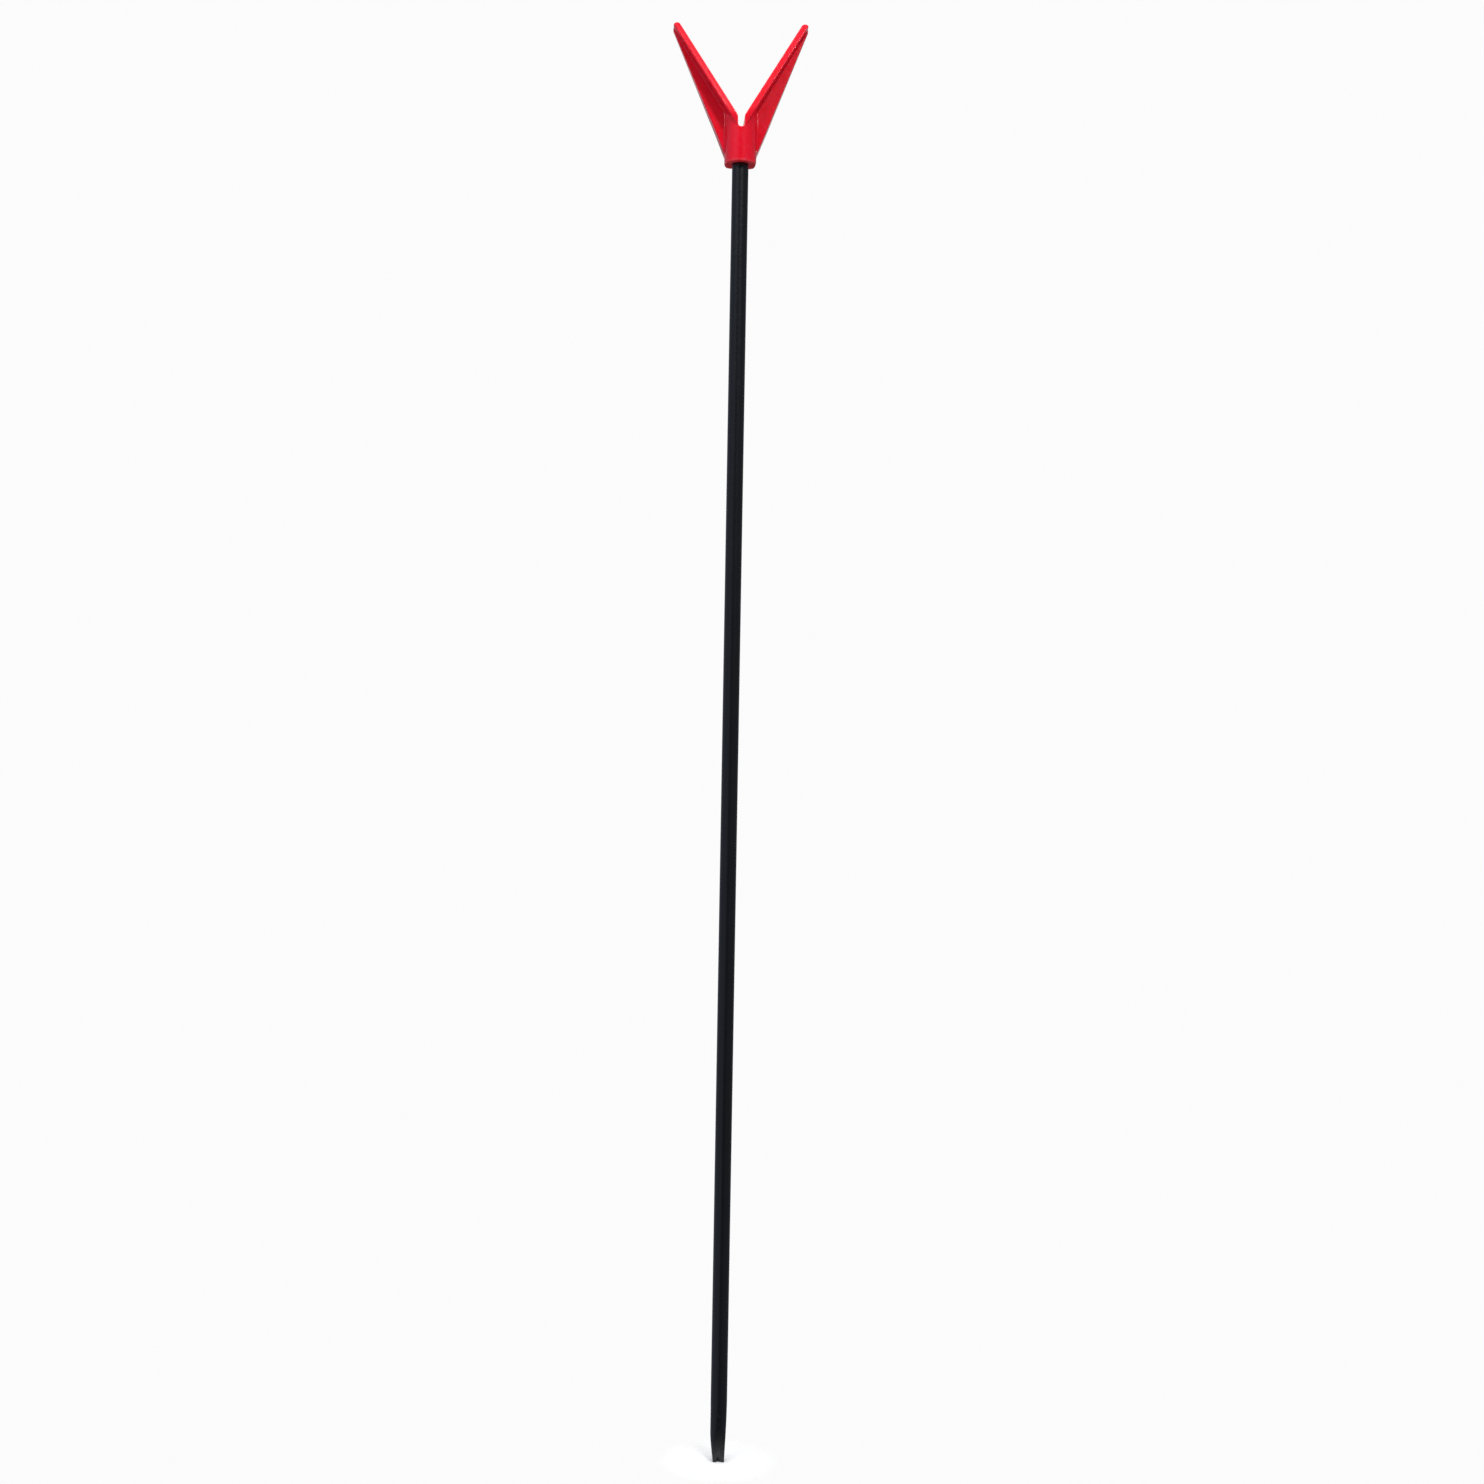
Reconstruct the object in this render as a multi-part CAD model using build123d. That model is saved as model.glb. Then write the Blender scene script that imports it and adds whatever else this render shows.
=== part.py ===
from build123d import *
import os
from math import atan, cos, degrees, pi, radians, sin, tan

# Fishing-rod rest: a moulded plastic V head pushed onto a crimped steel tube stake.
# Frame: origin at the middle of the stake's lower end, +Z up the stake, the head faces -Y.
# Every length is in millimetres.

# Stake tube
TOTAL_HEIGHT = 700.0
TUBE_RADIUS = 4.0
TUBE_WALL = 1.0
CRIMP_HEIGHT = 25.0
CRIMP_END_HALF_WIDTH = 2.5
CRIMP_CORNER = 0.5
CRIMP_EASE = 1.2
CRIMP_SECTIONS = 6
CRIMP_BORE_END_RADIUS = 0.45
FLUTE_RADIUS = 1.3
FLUTE_END_RADIUS = 0.13
FLUTE_STANDOFF = 0.25
FLUTE_HEIGHT = 5.5
FLUTE_COUNT = 4

# Socket collar of the head, and the thinner spigot of the tube that it turns on
COLLAR_RADIUS = 7.5
COLLAR_BOTTOM = 631.0
COLLAR_TOP = 663.0
SPIGOT_RADIUS = 3.8
BORE_RADIUS = SPIGOT_RADIUS + 0.06
BORE_TOP = 645.0
BORE_LEAD = 0.3
SHOULDER_HEIGHT = COLLAR_BOTTOM - 0.1
TUBE_TOP = BORE_TOP - 0.2

# Outline of the V, seen from the front
INNER_ANGLE = radians(31.3)
OUTER_ANGLE = radians(22.2)
INNER_HALF_GAP = 4.6
OUTER_HALF_WIDTH = 16.8
GAUGE_HEIGHT = 658.0
FOOT_HALF_WIDTH = 7.7
FOOT_CORNER = 2.4
CROTCH_HEIGHT = GAUGE_HEIGHT - INNER_HALF_GAP / tan(INNER_ANGLE)

# Depth of the head, from the flat back forwards
BACK = COLLAR_RADIUS
WEB_FOOT_FRONT = 0.0
WEB_FOOT_TOP = 648.0
WEB_SLOPE = 0.1
RAIL_THICKNESS = 3.1
FRONT_FOOT_HEIGHT = 655.0
FRONT_SLOPE = 0.16

# Line slot at the bottom of the V
SLOT_HALF_WIDTH = 1.7
SLOT_BOTTOM = 647.5
MOULD_DRAFT = radians(1.5)

# Roundings of the moulding
ROOT_FILLET = 0.8
EDGE_FILLET = 0.3
TIP_BAND = 690.0
SHORTEST_RAIL_EDGE = 50.0
SHORTEST_TIP_EDGE = 4.0

# How far a cutting tool reaches past the material, and how near counts as touching
OVERSHOOT = 2.0
NEAR = 0.01


def crimp_half_width(share):
    """Half the width of the crimp's square section, from its end (0) to the round tube (1)."""
    growth = sin(share * pi / 2) ** CRIMP_EASE
    return CRIMP_END_HALF_WIDTH + (TUBE_RADIUS - CRIMP_END_HALF_WIDTH) * growth


def crimp_die():
    """The closed die: a ring whose hole is square at the end and clears the tube at its mouth."""
    sections = []
    for i in range(CRIMP_SECTIONS):
        share = i / (CRIMP_SECTIONS - 1)
        side = 2 * crimp_half_width(share)
        square = RectangleRounded(side, side, CRIMP_CORNER)
        sections.append(Plane.XY.offset(CRIMP_HEIGHT * share) * square)
    return extrude(Circle(2 * TUBE_RADIUS), CRIMP_HEIGHT) - loft(sections)


def crimp_flutes():
    """Tapering notches that close the end of the tube to a cross."""
    spread = crimp_half_width(FLUTE_HEIGHT / CRIMP_HEIGHT) - CRIMP_END_HALF_WIDTH
    lean = degrees(atan(spread / FLUTE_HEIGHT))
    cone = Solid.make_cone(FLUTE_RADIUS, FLUTE_END_RADIUS, FLUTE_HEIGHT)
    flute = Pos(CRIMP_END_HALF_WIDTH + FLUTE_STANDOFF, 0, 0) * Rot(0, lean, 0) * cone
    return [Rot(0, 0, 360 * i / FLUTE_COUNT) * flute for i in range(FLUTE_COUNT)]


def tube_bore():
    """Bore of the tube, pinched nearly shut by the crimp and open at the top."""
    radius = TUBE_RADIUS - TUBE_WALL
    pinch_top = CRIMP_HEIGHT + OVERSHOOT
    top = TUBE_TOP + OVERSHOOT
    side = Polyline((0, -OVERSHOOT), (CRIMP_BORE_END_RADIUS, -OVERSHOOT), (CRIMP_BORE_END_RADIUS, 0),
                    (radius, pinch_top), (radius, top), (0, top), close=True)
    return revolve(Plane.XZ * make_face(side), Axis.Z)


def stake_tube():
    shaft = extrude(Circle(TUBE_RADIUS), SHOULDER_HEIGHT)
    spigot = extrude(Circle(SPIGOT_RADIUS), TUBE_TOP)
    return (shaft + spigot) - crimp_die() - tube_bore() - crimp_flutes()


def arm_apex():
    """Where the inner and outer edges of an arm would meet if its tip were sharp."""
    rise = (OUTER_HALF_WIDTH - INNER_HALF_GAP) / (tan(INNER_ANGLE) - tan(OUTER_ANGLE))
    return (OUTER_HALF_WIDTH + rise * tan(OUTER_ANGLE), GAUGE_HEIGHT + rise)


def tip_radius():
    """The rounding of an arm's tip that brings its top to the total height."""
    half_angle = (INNER_ANGLE - OUTER_ANGLE) / 2
    lean = (INNER_ANGLE + OUTER_ANGLE) / 2
    return (arm_apex()[1] - TOTAL_HEIGHT) / (cos(lean) / sin(half_angle) - 1)


def head_outline():
    """Front outline of the head, with the V open."""
    apex = arm_apex()
    shoulder_drop = (OUTER_HALF_WIDTH - FOOT_HALF_WIDTH) / tan(OUTER_ANGLE)
    shoulder = (FOOT_HALF_WIDTH, GAUGE_HEIGHT - shoulder_drop)
    foot = (FOOT_HALF_WIDTH, COLLAR_BOTTOM)
    half = Polyline((0, COLLAR_BOTTOM), foot, shoulder, apex, (0, CROTCH_HEIGHT), close=True)
    face = make_face(half)
    face = fillet(face.vertices().sort_by_distance((*apex, 0))[0], tip_radius())
    face = fillet(face.vertices().sort_by_distance((*foot, 0))[0], FOOT_CORNER)
    return face + mirror(face, about=Plane.YZ)


def prism(face, front, back):
    """Stand a front outline up in the XZ plane and give it depth from front to back."""
    return Plane((0, back, 0), x_dir=(1, 0, 0), z_dir=(0, -1, 0)) * extrude(face, back - front)


def v_opening():
    """Everything above the two faces that the rod rests on."""
    top = TOTAL_HEIGHT + OVERSHOOT
    reach = (top - CROTCH_HEIGHT) * tan(INNER_ANGLE)
    face = make_face(Polyline((0, CROTCH_HEIGHT), (-reach, top), (reach, top), close=True))
    return prism(face, -COLLAR_RADIUS - OVERSHOOT, BACK + OVERSHOOT)


def slot_outline(inset):
    """Outline of the line slot, drawn in by an inset."""
    half = SLOT_HALF_WIDTH - inset
    centre = SLOT_BOTTOM + SLOT_HALF_WIDTH
    sides = Polyline((half, centre), (half, GAUGE_HEIGHT), (-half, GAUGE_HEIGHT), (-half, centre))
    return make_face(sides + ThreePointArc((-half, centre), (0, centre - half), (half, centre)))


def line_slot():
    """Slot that lets the fishing line through, narrower at the back so that the mould opens."""
    reach = BACK + OVERSHOOT
    front = Plane((0, -reach, 0), x_dir=(1, 0, 0), z_dir=(0, -1, 0)) * slot_outline(0)
    inset = 2 * reach * tan(MOULD_DRAFT)
    back = Plane((0, reach, 0), x_dir=(1, 0, 0), z_dir=(0, -1, 0)) * slot_outline(inset)
    return loft([back, front])


def web_front(z):
    """How far back the web's front lies: at the collar's widest below, then sloping back."""
    return WEB_FOOT_FRONT + max(z - WEB_FOOT_TOP, 0) * WEB_SLOPE


def web():
    """The web behind the collar and the rails, thick at its foot and thinner up the arms."""
    top = TOTAL_HEIGHT + OVERSHOOT
    low = COLLAR_BOTTOM - OVERSHOOT
    side = Polyline((BACK, low), (WEB_FOOT_FRONT, low), (WEB_FOOT_FRONT, WEB_FOOT_TOP),
                    (web_front(top), top), (BACK, top), close=True)
    half_width = arm_apex()[0]
    depth = Plane.YZ.offset(-half_width) * extrude(make_face(side), 2 * half_width)
    return prism(head_outline(), WEB_FOOT_FRONT, BACK) & depth


def side_envelope():
    """The head seen from the side: the arms get shallower towards their tips, the back is flat."""
    top = TOTAL_HEIGHT + OVERSHOOT
    low = COLLAR_BOTTOM - OVERSHOOT
    front_top = -COLLAR_RADIUS + (top - FRONT_FOOT_HEIGHT) * FRONT_SLOPE
    side = Polyline((BACK, low), (-COLLAR_RADIUS, low), (-COLLAR_RADIUS, FRONT_FOOT_HEIGHT),
                    (front_top, top), (BACK, top), close=True)
    half_width = arm_apex()[0]
    return Plane.YZ.offset(-half_width) * extrude(make_face(side), 2 * half_width)


def rails():
    """The two thick edges that carry the rod, as deep as the head at each height."""
    rise = RAIL_THICKNESS / sin(INNER_ANGLE)
    top = arm_apex()[1]
    reach = (top - CROTCH_HEIGHT) * tan(INNER_ANGLE)
    band = Polyline((0, CROTCH_HEIGHT - rise), (reach, top - rise), (reach, top),
                    (0, CROTCH_HEIGHT), close=True)
    half = make_face(band)
    strip = half + mirror(half, about=Plane.YZ)
    return prism(strip & head_outline(), -COLLAR_RADIUS, BACK) & side_envelope()


def socket():
    """The round collar in front of the web, cut off by the V at its top."""
    collar = extrude(Circle(COLLAR_RADIUS), COLLAR_TOP - COLLAR_BOTTOM)
    return Pos(0, 0, COLLAR_BOTTOM) * collar - v_opening()


def socket_bore():
    """Blind hole for the tube, with a short lead-in cone."""
    bore = extrude(Circle(BORE_RADIUS), BORE_TOP - COLLAR_BOTTOM)
    lead = Solid.make_cone(BORE_RADIUS + BORE_LEAD, BORE_RADIUS, BORE_LEAD)
    return Pos(0, 0, COLLAR_BOTTOM) * (bore + lead)


def root_edges(head):
    """The inside corners where the rails stand on the web."""
    rail_foot = CROTCH_HEIGHT - RAIL_THICKNESS / sin(INNER_ANGLE)
    found = []
    for edge in head.edges():
        points = [edge @ share for share in (0, 0.5, 1)]
        on_web = all(abs(p.Y - web_front(p.Z)) < NEAR for p in points)
        on_rail = all(abs(abs(p.X) - (p.Z - rail_foot) * tan(INNER_ANGLE)) < NEAR for p in points)
        if on_web and on_rail:
            found.append(edge)
    return found


def outer_edges(head):
    """The edges round the flat back, the long edges of the arms and the ends of their tips."""
    back = head.edges().filter_by_position(Axis.Y, BACK, BACK)
    rest = [e for e in head.edges() if e not in back and e.bounding_box().max.Z > TIP_BAND]
    straight = [e for e in rest if e.geom_type == GeomType.LINE]
    arms = [e for e in straight if e.length > SHORTEST_RAIL_EDGE]
    tips = [e for e in rest if SHORTEST_TIP_EDGE < e.length < SHORTEST_RAIL_EDGE]
    return back + arms + tips


def v_head():
    head = (web() + rails() + socket() - line_slot() - socket_bore()).solids()[0]
    head = head.fillet(ROOT_FILLET, root_edges(head))
    return head.fillet(EDGE_FILLET, outer_edges(head))


os.makedirs("parts", exist_ok=True)
for name, shape in (("v_head", v_head()), ("stake_tube", stake_tube())):
    export_step(shape, f"parts/{name}.step")
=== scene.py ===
from math import cos, pi, radians, sin, tan

import bpy
import numpy as np
from mathutils import Matrix, Vector


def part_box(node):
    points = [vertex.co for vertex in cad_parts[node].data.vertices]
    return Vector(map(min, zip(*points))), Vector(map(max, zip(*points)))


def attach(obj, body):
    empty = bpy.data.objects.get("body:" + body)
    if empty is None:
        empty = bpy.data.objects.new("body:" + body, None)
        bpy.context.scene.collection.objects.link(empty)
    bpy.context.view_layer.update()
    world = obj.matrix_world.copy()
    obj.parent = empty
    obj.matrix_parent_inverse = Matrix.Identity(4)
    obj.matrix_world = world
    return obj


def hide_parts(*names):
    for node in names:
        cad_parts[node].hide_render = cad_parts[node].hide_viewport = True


# Fishing-rod rest: a moulded red plastic V head on a black powder-coated tube stake.
# The head's field is worked out in millimetres and turned into metres when its mesh is made.

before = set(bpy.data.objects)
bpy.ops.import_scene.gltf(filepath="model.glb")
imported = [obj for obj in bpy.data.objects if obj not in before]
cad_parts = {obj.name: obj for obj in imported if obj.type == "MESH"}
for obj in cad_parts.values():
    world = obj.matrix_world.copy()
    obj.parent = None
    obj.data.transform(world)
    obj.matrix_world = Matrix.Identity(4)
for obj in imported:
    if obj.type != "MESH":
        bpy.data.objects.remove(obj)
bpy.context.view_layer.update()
head_low, head_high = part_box("v_head")
stake_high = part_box("stake_tube")[1]

MM = 0.001

# ---------------------------------------------------------------- sizes, in millimetres

TOTAL_HEIGHT = head_high.z / MM
BACK = head_high.y / MM
COLLAR_RADIUS = -head_low.y / MM
COLLAR_BOTTOM = head_low.z / MM
TUBE_RADIUS = stake_high.x / MM
TUBE_TOP = stake_high.z / MM

# The V of the head
INNER_ANGLE = radians(31.3)
OUTER_ANGLE = radians(22.2)
INNER_HALF_GAP = 4.6
OUTER_HALF_WIDTH = 16.8
GAUGE_HEIGHT = 658.0
FOOT_HALF_WIDTH = 7.7
FOOT_CORNER = 2.4
CROTCH_HEIGHT = GAUGE_HEIGHT - INNER_HALF_GAP / tan(INNER_ANGLE)
ARM_LEAN = radians(0.8)
ARM_LEAN_HEIGHTS = (646.0, 656.0)

# Depth of the web and the rails
WEB_FOOT_TOP = 648.0
WEB_SLOPE = 0.1
WEB_EASE = 3.0
RAIL_THICKNESS = 3.1
RAIL_DISH = 0.2
DISH_FADE_HEIGHT = 8.0
FRONT_FOOT_HEIGHT = 655.0
FRONT_SLOPE = 0.16
FRONT_EASE = 3.0

# Slot, socket and roundings of the head
SLOT_HALF_WIDTH = 1.65
SLOT_CENTRE = 649.2
MOULD_DRAFT = tan(radians(1.5))
SOCKET_RADIUS = 3.86
SOCKET_TOP = 645.0
SOCKET_LEAD = 0.3
ROOT_ROUND = 0.8
COLLAR_ROOT_DEPTH = 2.5
COLLAR_ROOT_LEAST = 0.05
EDGE_ROUND = 0.4
LIP_ROUND = 0.6
SLOT_ROUND = 0.3

# Marks of the mould. An ejector mark has a height and its share of the way across an arm.
EJECTOR_RADIUS = 1.5
EJECTOR_DEPTH = 0.16
EJECTOR_PLACES = ((643.0, 0.0), (657.0, 0.5), (676.0, 0.5))
SINK_DEPTH = 0.12
SINK_HEIGHT = 640.0
SINK_WIDTH = 4.0
SINK_LENGTH = 7.0
GATE = (7.45, -0.2, 637.2)
GATE_SIZE = 0.5

# Mesh of the head
GRID_STEP = 0.25
SETTLE_ROUNDS = 3
NEWTON_STEPS = 3
PROBE = 0.02
LEAST_SLOPE = 0.2

# Stake
TUBE_WALL = 1.0
SHOULDER_HEIGHT = COLLAR_BOTTOM - 0.1
SPIGOT_RADIUS = 3.8
CRIMP_TOP = 26.0
CRIMP_STEP = 0.35
CREASE_BOTTOM = 17.8
CREASE_STEP = 0.22
BORE_LEAST = 0.45
STAKE_SEGMENTS = 144
SHAFT_RINGS = 26
TURNED_EDGE = 0.2

# Pressed faces of the crimp: turn in degrees, height where it starts, depth, ease
CRIMP_FACES = ((0.0, 25.0, 1.1, 1.15), (90.0, 22.0, 1.4, 1.25),
               (180.0, 14.0, 1.46, 1.3), (270.0, 24.0, 1.4, 1.2))
CRIMP_CORNER = 0.25
FRONT_FACE = radians(270.0)
FLUTE_HEIGHT = 6.5
FLUTE_DEPTH = 1.5
CREASE_DEPTH = 0.13
CREASE_HEIGHT = 23.6
CREASE_WIDTH = 0.45


# ---------------------------------------------------------------- head

def round_and(a, b, radius):
    """Inside both fields, with the edge between them rounded."""
    corner = np.hypot(np.maximum(radius + a, 0), np.maximum(radius + b, 0))
    return np.minimum(-radius, np.maximum(a, b)) + corner


def round_or(a, b, radius):
    """Inside either field, with the inside corner between them filled."""
    corner = np.hypot(np.maximum(radius - a, 0), np.maximum(radius - b, 0))
    return np.maximum(radius, np.minimum(a, b)) - corner


def arm_apex():
    """Where the two edges of an arm would meet if its tip were sharp."""
    rise = (OUTER_HALF_WIDTH - INNER_HALF_GAP) / (tan(INNER_ANGLE) - tan(OUTER_ANGLE))
    return OUTER_HALF_WIDTH + rise * tan(OUTER_ANGLE), GAUGE_HEIGHT + rise


def tip_circle():
    """Centre and radius of the circle that rounds an arm's tip."""
    apex_x, apex_z = arm_apex()
    half_angle = (INNER_ANGLE - OUTER_ANGLE) / 2
    lean = (INNER_ANGLE + OUTER_ANGLE) / 2
    radius = (apex_z - TOTAL_HEIGHT) / (cos(lean) / sin(half_angle) - 1)
    back_off = radius / sin(half_angle)
    return apex_x - back_off * sin(lean), apex_z - back_off * cos(lean), radius


def outline_field(side, z):
    """The head's front outline: the V faces, the outer flanks, round tips and round feet."""
    v_face = (z - CROTCH_HEIGHT) * sin(INNER_ANGLE) - side * cos(INNER_ANGLE)
    outer = (side - OUTER_HALF_WIDTH) * cos(OUTER_ANGLE) - (z - GAUGE_HEIGHT) * sin(OUTER_ANGLE)
    field = np.maximum(v_face, np.minimum(outer, side - FOOT_HALF_WIDTH))
    tip_x, tip_z, tip_radius = tip_circle()
    past_inner = (side - tip_x) * sin(INNER_ANGLE) + (z - tip_z) * cos(INNER_ANGLE) > 0
    past_outer = (side - tip_x) * sin(OUTER_ANGLE) + (z - tip_z) * cos(OUTER_ANGLE) > 0
    tip = np.hypot(side - tip_x, z - tip_z) - tip_radius
    field = np.where(past_inner & past_outer, tip, field)
    foot_x = FOOT_HALF_WIDTH - FOOT_CORNER
    foot_z = COLLAR_BOTTOM + FOOT_CORNER
    foot = np.hypot(side - foot_x, z - foot_z) - FOOT_CORNER
    return np.where((side > foot_x) & (z < foot_z), foot, field), v_face


def eased_rise(z, start, ease):
    """How far z is above a start, with a soft bend instead of a corner."""
    above = np.clip(z - start + ease, 0, 2 * ease)
    return above**2 / (4 * ease) + np.maximum(z - start - ease, 0)


def web_field(y, z):
    """Everything behind the web's front, which comes forward to the collar's widest below."""
    return eased_rise(z, WEB_FOOT_TOP, WEB_EASE) * WEB_SLOPE - y


def front_field(y, z, into):
    """Everything behind the head's front, which slopes back and is dished towards the V faces."""
    across = np.clip(into / RAIL_THICKNESS, 0, 1)
    arm = np.clip((z - CROTCH_HEIGHT) / DISH_FADE_HEIGHT, 0, 1)
    front = RAIL_DISH * (1 - across**2) * arm - COLLAR_RADIUS
    rise = eased_rise(z, FRONT_FOOT_HEIGHT, FRONT_EASE)
    return rise * FRONT_SLOPE + front - y


def slot_field(side, y, z):
    """The line slot with its round bottom, narrower towards the back."""
    half = SLOT_HALF_WIDTH - (y + COLLAR_RADIUS) * MOULD_DRAFT
    return np.where(z > SLOT_CENTRE, side - half, np.hypot(side, z - SLOT_CENTRE) - half)


def socket_field(radial, z):
    """The blind hole for the tube, with a short lead-in."""
    lead = np.maximum(SOCKET_LEAD - (z - COLLAR_BOTTOM), 0)
    return round_and(radial - SOCKET_RADIUS - lead, z - SOCKET_TOP, EDGE_ROUND)


def ejector_marks(side, y, z):
    """Shallow round prints that the ejector pins leave in the flat back."""
    field = np.full_like(side, BACK)
    for height, share in EJECTOR_PLACES:
        inner = (height - CROTCH_HEIGHT) * tan(INNER_ANGLE)
        outer = OUTER_HALF_WIDTH + (height - GAUGE_HEIGHT) * tan(OUTER_ANGLE)
        centre = share * (max(inner, 0) + outer)
        field = np.minimum(field, np.hypot(side - centre, z - height) - EJECTOR_RADIUS)
    return np.maximum(field, BACK - EJECTOR_DEPTH - y)


def head_field(x, y, z):
    """Signed distance to the head's surface, negative inside, in millimetres."""
    lean = ARM_LEAN * np.interp(z, ARM_LEAN_HEIGHTS, (0, 1))
    x, z = x + lean * (z - ARM_LEAN_HEIGHTS[0]), z - lean * x
    side = np.abs(x)
    outline, v_face = outline_field(side, z)
    rail = round_and(-v_face - RAIL_THICKNESS, front_field(y, z, -v_face), LIP_ROUND)
    body = round_or(web_field(y, z), rail, ROOT_ROUND)
    body = round_and(body, outline, EDGE_ROUND)
    radial = np.hypot(x, y)
    collar = np.maximum(radial - COLLAR_RADIUS, v_face + RAIL_THICKNESS / 2)
    root = np.clip((y + COLLAR_RADIUS) / COLLAR_ROOT_DEPTH, COLLAR_ROOT_LEAST, 1)
    body = round_or(body, collar, ROOT_ROUND * root)
    body = np.maximum(body, np.minimum(outline, side - FOOT_HALF_WIDTH))
    gate = np.sqrt((x - GATE[0]) ** 2 + (y - GATE[1]) ** 2 + (z - GATE[2]) ** 2)
    body = round_or(body, gate - GATE_SIZE, GATE_SIZE / 2)
    body = round_and(body, -slot_field(side, y, z), SLOT_ROUND)
    body = np.maximum(body, -socket_field(radial, z))
    body = round_and(body, COLLAR_BOTTOM - z, EDGE_ROUND)
    sink = np.exp(-(x / SINK_WIDTH) ** 2 - ((z - SINK_HEIGHT) / SINK_LENGTH) ** 2) * SINK_DEPTH
    body = round_and(body, y - BACK + sink, EDGE_ROUND)
    return np.maximum(body, -ejector_marks(side, y, z))


def cell_vertices(field, origin, step):
    """One point in each grid cell that the surface crosses: the mean of its edge crossings."""
    cells = tuple(n - 1 for n in field.shape)
    total = np.zeros(cells + (3,))
    count = np.zeros(cells)
    for axis in range(3):
        first = field[tuple(slice(None, -1) if a == axis else slice(None) for a in range(3))]
        second = field[tuple(slice(1, None) if a == axis else slice(None) for a in range(3))]
        crossing = (first < 0) != (second < 0)
        places = np.argwhere(crossing)
        start = first[crossing]
        share = start / (start - second[crossing])
        points = places.astype(float)
        points[:, axis] += share
        others = [a for a in range(3) if a != axis]
        for shift_a in (0, 1):
            for shift_b in (0, 1):
                cell = places.copy()
                cell[:, others[0]] -= shift_a
                cell[:, others[1]] -= shift_b
                np.add.at(total, tuple(cell.T), points)
                np.add.at(count, tuple(cell.T), 1)
    active = count > 0
    index = np.full(cells, -1)
    index[active] = np.arange(active.sum())
    return origin + step * total[active] / count[active][:, None], index


def cell_quads(field, index):
    """A quad round each grid edge that the surface crosses, facing outwards."""
    quads = []
    for axis in range(3):
        first = field[tuple(slice(None, -1) if a == axis else slice(None) for a in range(3))]
        second = field[tuple(slice(1, None) if a == axis else slice(None) for a in range(3))]
        a, b = [n for n in range(3) if n != axis]
        places = np.argwhere((first < 0) != (second < 0))
        leaving = first[tuple(places.T)] < 0
        corners = []
        for shift_a, shift_b in ((0, 0), (1, 0), (1, 1), (0, 1)):
            cell = places.copy()
            cell[:, a] -= shift_a
            cell[:, b] -= shift_b
            corners.append(index[tuple(cell.T)])
        quad = np.stack(corners, axis=1)
        forward = leaving if axis != 1 else ~leaving
        quad[~forward] = quad[~forward][:, ::-1]
        quads.append(quad)
    return np.concatenate(quads)


def field_slope(points):
    """Gradient of the head's field at each point."""
    slope = np.empty_like(points)
    for axis in range(3):
        move = np.zeros(3)
        move[axis] = PROBE
        rise = head_field(*(points + move).T) - head_field(*(points - move).T)
        slope[:, axis] = rise / (2 * PROBE)
    return slope


def settle(points, quads):
    """Even out the points and slide them onto the exact surface."""
    for _ in range(SETTLE_ROUNDS):
        total = np.zeros_like(points)
        count = np.zeros(len(points))
        for corner in range(4):
            for step in (1, 3):
                np.add.at(total, quads[:, corner], points[quads[:, (corner + step) % 4]])
                np.add.at(count, quads[:, corner], 1)
        points = 0.5 * points + 0.5 * total / count[:, None]
        for _ in range(NEWTON_STEPS):
            value = head_field(*points.T)
            slope = field_slope(points)
            length = np.maximum((slope**2).sum(axis=1), LEAST_SLOPE)
            points = points - slope * (value / length)[:, None]
    return points


def new_mesh_object(name, points_mm, faces, material):
    mesh = bpy.data.meshes.new(name)
    mesh.from_pydata((points_mm * MM).tolist(), [], faces)
    mesh.polygons.foreach_set("use_smooth", [True] * len(mesh.polygons))
    mesh.materials.append(material)
    mesh.update()
    piece = bpy.data.objects.new(name, mesh)
    bpy.context.scene.collection.objects.link(piece)
    return piece


def make_head(material):
    """The head's mesh, drawn round its field on a grid, with the field's own normals."""
    margin = 2 * GRID_STEP
    low = np.array([-head_high.x, head_low.y, head_low.z]) / MM - margin
    high = np.array([head_high.x, head_high.y, head_high.z]) / MM + margin
    low[0] -= GATE_SIZE
    axes = [np.arange(low[i], high[i] + GRID_STEP, GRID_STEP) for i in range(3)]
    field = head_field(*np.meshgrid(*axes, indexing="ij"))
    points, index = cell_vertices(field, low, GRID_STEP)
    quads = cell_quads(field, index)
    points = settle(points, quads)
    piece = new_mesh_object("moulded_head", points, quads.tolist(), material)
    slope = field_slope(points)
    normals = slope / np.linalg.norm(slope, axis=1, keepdims=True)
    piece.data.normals_split_custom_set_from_vertices(normals.tolist())
    return piece


# ---------------------------------------------------------------- stake

def squeezed(z, start, depth, ease):
    """How far from the axis a face of the crimp lies at a height."""
    return TUBE_RADIUS - depth * np.clip((start - z) / start, 0, 1) ** ease


def stake_radius(angle, z):
    """Outer radius of the tube: round, then pressed into a square with four folded flutes."""
    radius = np.full(np.broadcast(angle, z).shape, TUBE_RADIUS)
    for turn, start, depth, ease in CRIMP_FACES:
        away = (angle - radians(turn) + pi) % (2 * pi) - pi
        facing = np.maximum(np.cos(away), 0.3)
        flat = squeezed(z, start, depth, ease) / facing
        blend = np.clip(0.5 + 0.5 * (flat - radius) / CRIMP_CORNER, 0, 1)
        radius = flat * (1 - blend) + radius * blend - CRIMP_CORNER * blend * (1 - blend)
    for turn, _, _, _ in CRIMP_FACES:
        away = (angle - radians(turn) + pi) % (2 * pi) - pi
        across = radius * np.sin(away)
        share = np.clip(1 - z / FLUTE_HEIGHT, 0, 1)
        groove = FLUTE_DEPTH * share**1.6 * np.exp(-((across / (0.35 + 0.65 * share)) ** 2))
        radius = radius - np.where(np.cos(away) > 0, groove, 0)
    return radius


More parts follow.
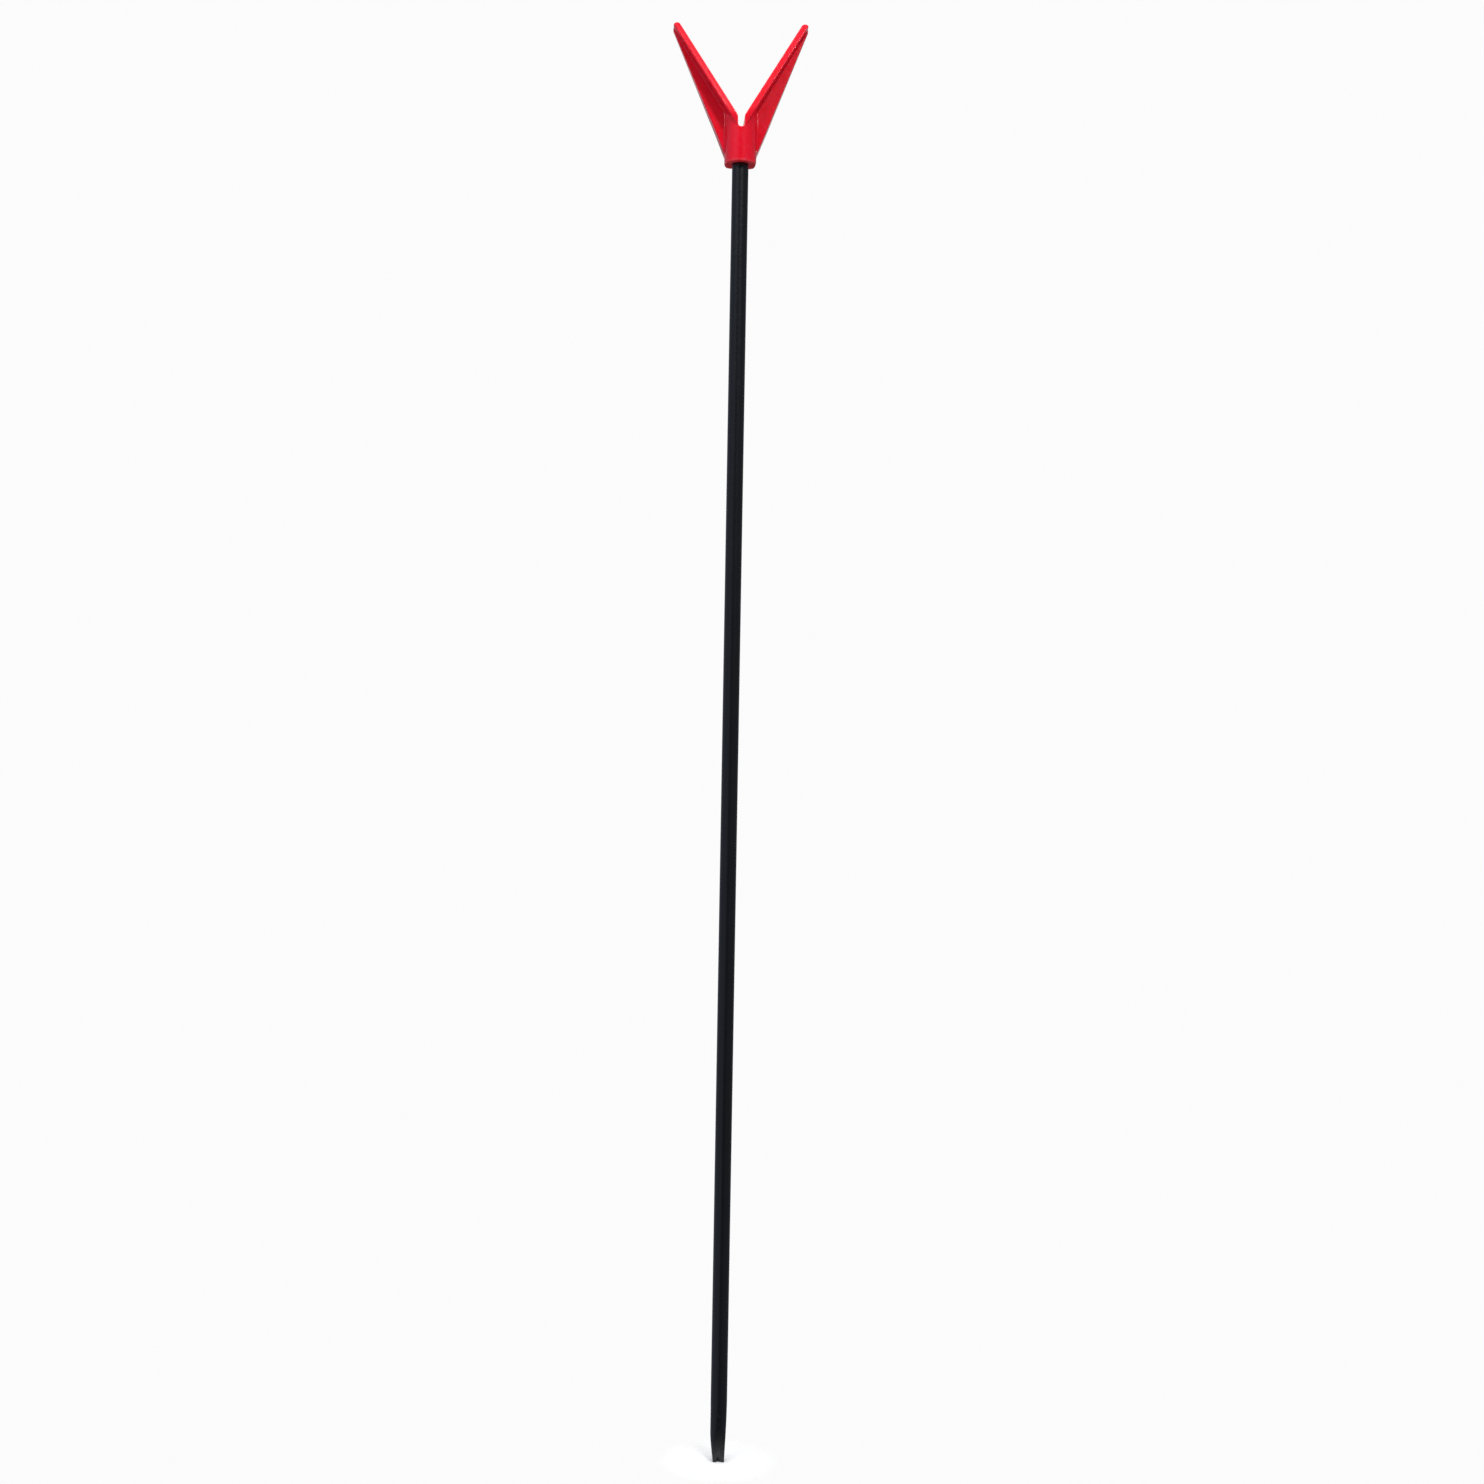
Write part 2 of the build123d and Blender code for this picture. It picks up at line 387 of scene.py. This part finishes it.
def crease_bead(angle, z):
    """The small crease that the press leaves at the top of the front face."""
    across = TUBE_RADIUS * np.sin(angle - FRONT_FACE)
    line = CREASE_HEIGHT - 0.667 * (across + 0.5) ** 2
    near = np.exp(-(((z - line) / CREASE_WIDTH) ** 2)) * (np.cos(angle - FRONT_FACE) > 0)
    reach = np.clip((across + 0.7) / 0.4, 0, 1) * np.clip((2.1 - across) / 0.5, 0, 1)
    return CREASE_DEPTH * near * reach


def make_stake(material):
    """The tube as one closed ring of rings: up the outside, over the top and down the bore."""
    segments = STAKE_SEGMENTS
    angle = np.linspace(0, 2 * pi, segments, endpoint=False)
    crimp = np.concatenate([np.arange(CRIMP_STEP, CREASE_BOTTOM, CRIMP_STEP),
                            np.arange(CREASE_BOTTOM, CRIMP_TOP, CREASE_STEP)])
    shaft = np.linspace(CRIMP_TOP + 1, SHOULDER_HEIGHT - 2 * TURNED_EDGE, SHAFT_RINGS)
    rings = []
    edge = TURNED_EDGE
    for z in crimp:
        rings.append((stake_radius(angle, z) + crease_bead(angle, z), z))
    for z in shaft:
        rings.append((np.full(segments, TUBE_RADIUS), z))
    turned = ((TUBE_RADIUS, SHOULDER_HEIGHT - edge), (TUBE_RADIUS - 0.05, SHOULDER_HEIGHT - 0.05),
              (SPIGOT_RADIUS, SHOULDER_HEIGHT), (SPIGOT_RADIUS, TUBE_TOP - edge),
              (SPIGOT_RADIUS - edge, TUBE_TOP))
    for radius, z in turned:
        rings.append((np.full(segments, radius), z))
    bore = TUBE_RADIUS - TUBE_WALL
    for z in (TUBE_TOP, *shaft[::-1]):
        rings.append((np.full(segments, bore), z))
    for z in crimp[::-1][::2]:
        rings.append((np.maximum(stake_radius(angle, z) - TUBE_WALL, BORE_LEAST), z))
    mouth = stake_radius(angle, 0.0)
    rings.append((np.maximum(mouth - TUBE_WALL, BORE_LEAST), 0.1))
    rings.append((np.maximum(mouth - TUBE_WALL, BORE_LEAST) + 0.1, 0.0))
    rings.append((mouth - 0.15, 0.0))
    rings.append((mouth - 0.04, 0.1))
    points = np.concatenate([np.stack([r * np.cos(angle), r * np.sin(angle),
                                       np.full(segments, z)], axis=1) for r, z in rings])
    faces = []
    for i in range(len(rings)):
        ring, after = i * segments, (i + 1) % len(rings) * segments
        for j in range(segments):
            k = (j + 1) % segments
            faces.append((ring + j, ring + k, after + k, after + j))
    return new_mesh_object("crimped_stake", points, faces, material)


# ---------------------------------------------------------------- materials

RED_DEEP = (0.79, 0.0036, 0.021, 1)
RED_BRIGHT = (0.84, 0.0044, 0.025, 1)
RED_SCUFFED = (0.86, 0.16, 0.19, 1)
# Pale pink painted onto the collar's lower front edge as the sheen that rounded edge catches.
RED_PAINTED_RIM_SHEEN = (0.86, 0.25, 0.27, 1)
GATE_SHEARED = (0.62, 0.33, 0.26, 1)
BLACK_DEEP = (0.0036, 0.0041, 0.0054, 1)
BLACK_CLOUD = (0.0050, 0.0055, 0.0072, 1)
# Painted highlight colour for the glints on the crimped end's folds and edges.
BLACK_PAINTED_GLINT = (0.030, 0.030, 0.034, 1)
FLOOR_GREY = (0.88, 0.88, 0.88, 1)


class Nodes:
    """A short way to build a material's node tree."""

    def __init__(self, name):
        self.material = bpy.data.materials.new(name)
        self.material.use_nodes = True
        self.tree = self.material.node_tree
        self.shader = self.tree.nodes["Principled BSDF"]
        place = self.add("ShaderNodeTexCoord")
        self.place = place.outputs["Object"]

    def add(self, kind, **values):
        node = self.tree.nodes.new(kind)
        for key, value in values.items():
            setattr(node, key, value)
        return node

    def link(self, start, end):
        self.tree.links.new(start, end)

    def stretched(self, scale):
        node = self.add("ShaderNodeMapping")
        node.inputs["Scale"].default_value = scale
        self.link(self.place, node.inputs["Vector"])
        return node.outputs["Vector"]

    def noise(self, scale, detail=4.0, roughness=0.5, stretch=None, distortion=0.0):
        node = self.add("ShaderNodeTexNoise")
        node.inputs["Scale"].default_value = scale
        node.inputs["Detail"].default_value = detail
        node.inputs["Roughness"].default_value = roughness
        node.inputs["Distortion"].default_value = distortion
        self.link(self.stretched(stretch) if stretch else self.place, node.inputs["Vector"])
        return node.outputs["Fac"]

    def spread(self, value, low, high, to_low=0.0, to_high=1.0):
        node = self.add("ShaderNodeMapRange")
        node.inputs["From Min"].default_value = low
        node.inputs["From Max"].default_value = high
        node.inputs["To Min"].default_value = to_low
        node.inputs["To Max"].default_value = to_high
        self.link(value, node.inputs["Value"])
        return node.outputs["Result"]

    def maths(self, operation, *values):
        node = self.add("ShaderNodeMath", operation=operation)
        for socket, value in zip(node.inputs, values):
            if isinstance(value, (int, float)):
                socket.default_value = value
            else:
                self.link(value, socket)
        return node.outputs["Value"]

    def mix(self, share, first, second):
        node = self.add("ShaderNodeMix", data_type="RGBA")
        for key, value in (("Factor_Float", share), ("A_Color", first), ("B_Color", second)):
            socket = next(s for s in node.inputs if s.identifier == key)
            if isinstance(value, tuple):
                socket.default_value = value
            else:
                self.link(value, socket)
        return next(s for s in node.outputs if s.identifier == "Result_Color")

    def bump(self, height, distance, strength, normal=None):
        node = self.add("ShaderNodeBump")
        node.inputs["Distance"].default_value = distance
        node.inputs["Strength"].default_value = strength
        self.link(height, node.inputs["Height"])
        if normal is not None:
            self.link(normal, node.inputs["Normal"])
        return node.outputs["Normal"]


def red_plastic():
    """Glossy moulded plastic: smooth where it is sheltered, scuffed where it stands proud."""
    n = Nodes("red_plastic")
    split = n.add("ShaderNodeSeparateXYZ")
    n.link(n.place, split.inputs["Vector"])
    front = n.spread(split.outputs["Y"], -0.0008, -0.0030)
    back = n.spread(split.outputs["Y"], 0.0070, 0.0074)
    proud = n.maths("MAXIMUM", front, back)
    collar = n.maths("MULTIPLY", front, n.spread(split.outputs["Z"], 0.657, 0.651))
    flow = n.noise(90.0, detail=3.0, stretch=(1.0, 1.0, 0.35), distortion=0.6)
    colour = n.mix(n.spread(flow, 0.35, 0.65), RED_DEEP, RED_BRIGHT)
    scuff = n.spread(n.noise(620.0, detail=5.0, roughness=0.65), 0.52, 0.74)
    scuff = n.maths("MULTIPLY", scuff, n.maths("MULTIPLY_ADD", proud, 0.85, 0.15))
    colour = n.mix(n.maths("MULTIPLY", scuff, 0.06), colour, RED_SCUFFED)
    # Pale band along the front of the collar's lower edge: a painted highlight for the sheen of the
    # rounded edge.
    rim = n.maths("MULTIPLY", front, n.spread(split.outputs["Z"], 0.6326, 0.6316, 0.0, 0.10))
    colour = n.mix(rim, colour, RED_PAINTED_RIM_SHEEN)
    gate = n.add("ShaderNodeVectorMath", operation="DISTANCE")
    n.link(n.place, gate.inputs[0])
    gate.inputs[1].default_value = [value * MM for value in GATE]
    sheared = n.spread(gate.outputs["Value"], 0.0009, 0.0006)
    colour = n.mix(n.maths("MULTIPLY", sheared, 0.75), colour, GATE_SHEARED)
    n.link(colour, n.shader.inputs["Base Color"])
    rough = n.spread(n.noise(260.0, detail=4.0), 0.3, 0.7, 0.16, 0.20)
    rough = n.maths("ADD", rough, n.maths("MULTIPLY", scuff, 0.07))
    n.link(rough, n.shader.inputs["Roughness"])
    grooves = n.noise(1500.0, detail=3.0, roughness=0.6, stretch=(0.16, 0.16, 1.0))
    grooves = n.maths("MULTIPLY", grooves, collar)
    normal = n.bump(grooves, 0.0001, 0.5)
    n.link(n.bump(n.noise(240.0, detail=2.0, stretch=(1, 1, 0.4)), 0.00004, 0.1, normal),
           n.shader.inputs["Normal"])
    n.shader.inputs["IOR"].default_value = 1.49
    n.shader.inputs["Subsurface Weight"].default_value = 0.45
    n.shader.inputs["Subsurface Radius"].default_value = (1.0, 0.05, 0.05)
    n.shader.inputs["Subsurface Scale"].default_value = 0.0024
    return n.material


def black_powder_coat():
    """Semi-gloss powder coat with fine orange peel, and a painted highlight at the crimped end."""
    n = Nodes("black_powder_coat")
    cloud = n.noise(60.0, detail=3.0)
    colour = n.mix(n.spread(cloud, 0.3, 0.7), BLACK_DEEP, BLACK_CLOUD)
    split = n.add("ShaderNodeSeparateXYZ")
    n.link(n.place, split.inputs["Vector"])
    # Lighter in a scratchy pattern near the tip: a painted highlight for the glints on the crimp's
    # folds and edges.
    low = n.spread(split.outputs["Z"], 0.0, 0.022, 1.0, 0.0)
    crimp_glint_pattern = n.spread(n.noise(900.0, detail=5.0, roughness=0.7), 0.52, 0.70)
    painted_glint_share = n.maths("MULTIPLY", n.maths("MULTIPLY", low, crimp_glint_pattern), 0.35)
    colour = n.mix(painted_glint_share, colour, BLACK_PAINTED_GLINT)
    n.link(colour, n.shader.inputs["Base Color"])
    n.link(n.spread(n.noise(500.0, detail=3.0), 0.3, 0.7, 0.25, 0.31), n.shader.inputs["Roughness"])
    peel = n.bump(n.noise(1300.0, detail=2.0), 0.00006, 0.25)
    n.link(n.bump(n.noise(3600.0, detail=1.0), 0.00002, 0.2, peel), n.shader.inputs["Normal"])
    n.shader.inputs["IOR"].default_value = 1.5
    return n.material


def floor_material():
    """Pale matt floor that fades into the backdrop colour at its rim."""
    n = Nodes("pale_floor")
    n.shader.inputs["Base Color"].default_value = FLOOR_GREY
    n.shader.inputs["Roughness"].default_value = 0.9
    n.shader.inputs["Specular IOR Level"].default_value = 0.0
    length = n.add("ShaderNodeVectorMath", operation="LENGTH")
    n.link(n.place, length.inputs[0])
    fade = n.spread(length.outputs["Value"], 0.003, 0.03, 1.0, 0.0)
    n.link(fade, n.shader.inputs["Alpha"])
    return n.material


# ---------------------------------------------------------------- stage, light, camera

FLOOR_SEGMENTS = 64
FLOOR_RINGS = (0.01, 0.02, 0.04)
LAMP_DISTANCE = 1.5

# Softboxes: name, azimuth, elevation, height aimed at, width and height, power, colour
SOFTBOXES = (
    ("key", 24, 37, 0.66, (0.26, 0.26), 13.6, (1, 1, 1)),
    ("left_fill", -42, 42, 0.64, (0.9, 0.9), 8.0, (0.95, 0.98, 1.0)),
    ("back_fill", 180, 35, 0.5, (1.0, 1.0), 1.5, (1, 1, 1)),
    ("overhead", 0, 86, 0.5, (1.1, 1.1), 15.0, (1, 1, 1)),
)

# Surroundings: axis, where the glow starts, where it is full, colour, strength
GLOWS = (
    ("Z", -9.0, -8.0, (0.9, 0.95, 1.0), 0.07),
    ("X", -0.12, -0.45, (0.80, 0.92, 1.22), 0.24),
    ("X", 0.12, 0.5, (0.85, 0.93, 1.1), 0.10),
    ("Z", 0.5, 0.85, (1.0, 1.0, 1.0), 0.7),
    ("Z", -0.5, -0.85, (1.0, 1.0, 1.0), 0.5),
)
BACKDROP = (0.97, 0.97, 0.97, 1)

def make_floor():
    """A small round floor under the tip, built of rings round its middle."""
    rim = FLOOR_SEGMENTS
    points, faces = [(0.0, 0.0, 0.0)], []
    for radius in FLOOR_RINGS:
        for i in range(rim):
            points.append((radius * cos(2 * pi * i / rim), radius * sin(2 * pi * i / rim), 0.0))
    for i in range(rim):
        k = (i + 1) % rim
        faces.append((0, 1 + i, 1 + k))
        for ring in range(len(FLOOR_RINGS) - 1):
            base, after = 1 + ring * rim, 1 + (ring + 1) * rim
            faces.append((base + i, after + i, after + k, base + k))
    mesh = bpy.data.meshes.new("floor")
    mesh.from_pydata(points, [], faces)
    mesh.materials.append(floor_material())
    floor = bpy.data.objects.new("floor", mesh)
    bpy.context.scene.collection.objects.link(floor)


def direction(azimuth, elevation):
    """Unit vector from the object; azimuth 0 is in front of it, positive to the right."""
    a, e = radians(azimuth), radians(elevation)
    return Vector((sin(a) * cos(e), -cos(a) * cos(e), sin(e)))


def softbox(name, azimuth, elevation, target_z, size, power, colour):
    """A rectangular lamp that faces a height on the object's axis."""
    light = bpy.data.lights.new(name, "AREA")
    light.shape = "RECTANGLE"
    light.size, light.size_y = size
    light.energy = power
    light.color = colour
    lamp = bpy.data.objects.new(name, light)
    towards = direction(azimuth, elevation)
    lamp.location = Vector((0, 0, target_z)) + towards * LAMP_DISTANCE
    lamp.rotation_mode = "QUATERNION"
    lamp.rotation_quaternion = towards.to_track_quat("Z", "Y")
    bpy.context.scene.collection.objects.link(lamp)


def glow(tree, axis, start, end, colour, strength):
    """Light from the surroundings that grows from one height or side of the sky to another."""
    shader = tree.nodes.new("ShaderNodeBackground")
    shader.inputs["Color"].default_value = (*colour, 1)
    place = tree.nodes.new("ShaderNodeTexCoord")
    split = tree.nodes.new("ShaderNodeSeparateXYZ")
    grow = tree.nodes.new("ShaderNodeMapRange")
    grow.interpolation_type = "SMOOTHSTEP"
    grow.inputs["From Min"].default_value = start
    grow.inputs["From Max"].default_value = end
    grow.inputs["To Min"].default_value = 0.0
    grow.inputs["To Max"].default_value = strength
    tree.links.new(place.outputs["Generated"], split.inputs["Vector"])
    tree.links.new(split.outputs[axis], grow.inputs["Value"])
    tree.links.new(grow.outputs["Result"], shader.inputs["Strength"])
    return shader.outputs[0]


def make_lights():
    """The lamps, the glow of the surroundings, and a plain backdrop that only the camera sees."""
    for lamp in SOFTBOXES:
        softbox(*lamp)
    world = bpy.data.worlds.new("studio")
    world.use_nodes = True
    bpy.context.scene.world = world
    tree = world.node_tree
    seen = tree.nodes["Background"]
    seen.inputs["Color"].default_value = BACKDROP
    seen.inputs["Strength"].default_value = 1.0
    around = glow(tree, *GLOWS[0])
    for values in GLOWS[1:]:
        add = tree.nodes.new("ShaderNodeAddShader")
        tree.links.new(around, add.inputs[0])
        tree.links.new(glow(tree, *values), add.inputs[1])
        around = add.outputs[0]
    path = tree.nodes.new("ShaderNodeLightPath")
    choose = tree.nodes.new("ShaderNodeMixShader")
    tree.links.new(path.outputs["Is Camera Ray"], choose.inputs["Fac"])
    tree.links.new(around, choose.inputs[1])
    tree.links.new(seen.outputs[0], choose.inputs[2])
    tree.links.new(choose.outputs[0], tree.nodes["World Output"].inputs["Surface"])


CAMERA_HEIGHT = 0.350
CAMERA_AZIMUTH = -2.2
CAMERA_DISTANCE = 0.952
CAMERA_ROLL = 0.995
CAMERA_LENS = 47.43
CAMERA_ASIDE = 0.0057


def make_camera():
    """A level camera, a little to the object's left, rolled so that the top leans right."""
    data = bpy.data.cameras.new("camera")
    data.lens = CAMERA_LENS
    data.sensor_width = 36.0
    camera = bpy.data.objects.new("camera", data)
    towards = direction(CAMERA_AZIMUTH, 0)
    across = Vector((cos(radians(CAMERA_AZIMUTH)), sin(radians(CAMERA_AZIMUTH)), 0))
    camera.location = (Vector((0, 0, CAMERA_HEIGHT)) + towards * CAMERA_DISTANCE
                       + across * CAMERA_ASIDE)
    look = towards.to_track_quat("Z", "Y").to_matrix().to_4x4()
    camera.matrix_world = (Matrix.Translation(camera.location) @ look
                           @ Matrix.Rotation(radians(CAMERA_ROLL), 4, "Z"))
    data.clip_start, data.clip_end = 0.01, 50.0
    bpy.context.scene.collection.objects.link(camera)
    bpy.context.scene.camera = camera


# ---------------------------------------------------------------- assembly

head = make_head(red_plastic())
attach(head, "head")
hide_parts("v_head")

stake = make_stake(black_powder_coat())
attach(stake, "stake")
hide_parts("stake_tube")

make_floor()
make_lights()
make_camera()
bpy.context.scene.view_settings.view_transform = "Standard"
